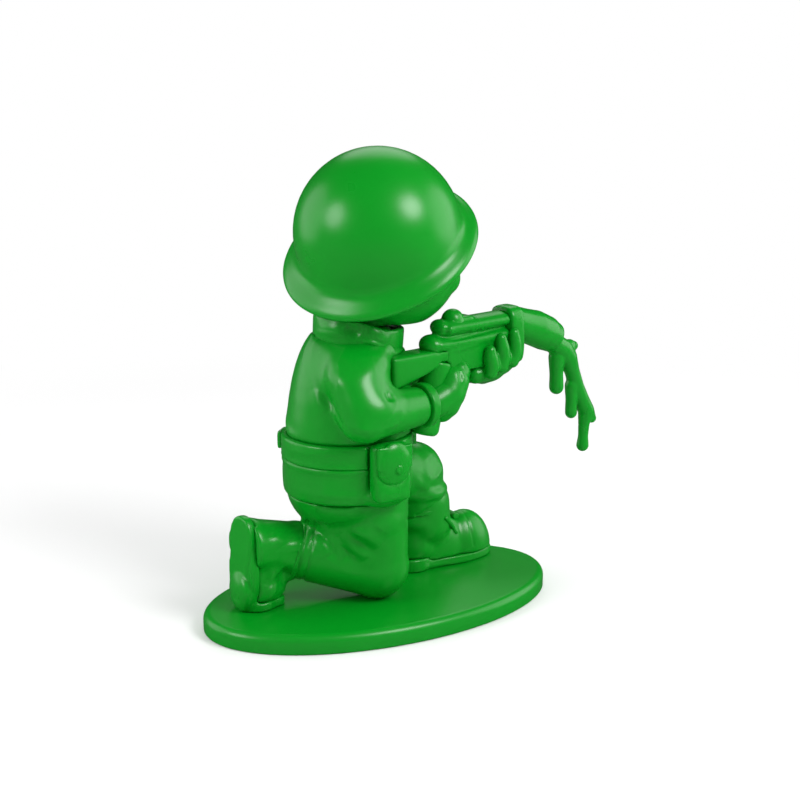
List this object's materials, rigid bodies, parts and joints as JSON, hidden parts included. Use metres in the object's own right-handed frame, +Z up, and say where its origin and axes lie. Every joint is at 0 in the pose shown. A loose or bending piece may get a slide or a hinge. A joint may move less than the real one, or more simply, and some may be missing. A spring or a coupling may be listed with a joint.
{
  "type": "toy soldier figure",
  "caption": "Kneeling toy soldier with a big turning head, round helmet, belt pouches and a rifle whose muzzle melts into drips, on an oval base.",
  "frame": {"origin": "centre of the underside of the oval base", "axes": "+Z up; the figure faces -Y, and +X is to its left"},
  "size_m": [0.084, 0.1732, 0.1757],
  "materials": {
    "base_green": "satin-gloss moulded vinyl",
    "boot_green": "satin-gloss moulded vinyl",
    "uniform_green": "satin-gloss moulded vinyl",
    "gear_green": "satin-gloss moulded vinyl",
    "skin_green": "satin-gloss moulded vinyl",
    "helmet_green": "satin-gloss moulded vinyl",
    "rifle_green": "satin-gloss moulded vinyl",
    "post_plastic": "plain moulded peg, hidden in the neck",
    "pin_steel": "plain steel pin, hidden in the feet"
  },
  "bodies": {
    "root": {"base_plate": "base_green", "base_pins": "pin_steel", "left_boot_sole": "boot_green", "left_boot": "boot_green", "left_boot_laces": "boot_green", "right_boot_sole": "boot_green", "right_boot": "boot_green", "left_trouser_leg": "uniform_green", "right_trouser_leg": "uniform_green", "trouser_seat": "uniform_green", "jacket_skirt": "uniform_green", "belt": "gear_green", "belt_buckle": "gear_green", "right_pouch": "gear_green", "right_pouch_flap": "gear_green", "left_pouch": "gear_green", "left_pouch_flap": "gear_green", "pouch_snaps": "gear_green", "rear_belt_pouch": "gear_green", "jacket_body": "uniform_green", "jacket_collar": "uniform_green", "right_sleeve": "uniform_green", "right_cuff": "uniform_green", "left_sleeve": "uniform_green", "left_cuff": "uniform_green", "right_hand": "skin_green", "left_hand": "skin_green", "rifle_stock": "rifle_green", "rifle_receiver": "rifle_green", "rifle_grip": "rifle_green", "rifle_trigger": "rifle_green", "rear_sight": "rifle_green", "front_band": "rifle_green", "rifle_barrel": "rifle_green", "barrel_drips": "rifle_green", "neck_post": "post_plastic"},
    "head": {"head": "skin_green", "helmet": "helmet_green"}
  },
  "joints": [
    {"name": "head_turn", "type": "hinge", "parent": "root", "child": "head", "pos_m": [0, 0.00604, 0.11103], "axis": [0, 0, 1], "range_deg": [-35, 35]}
  ]
}
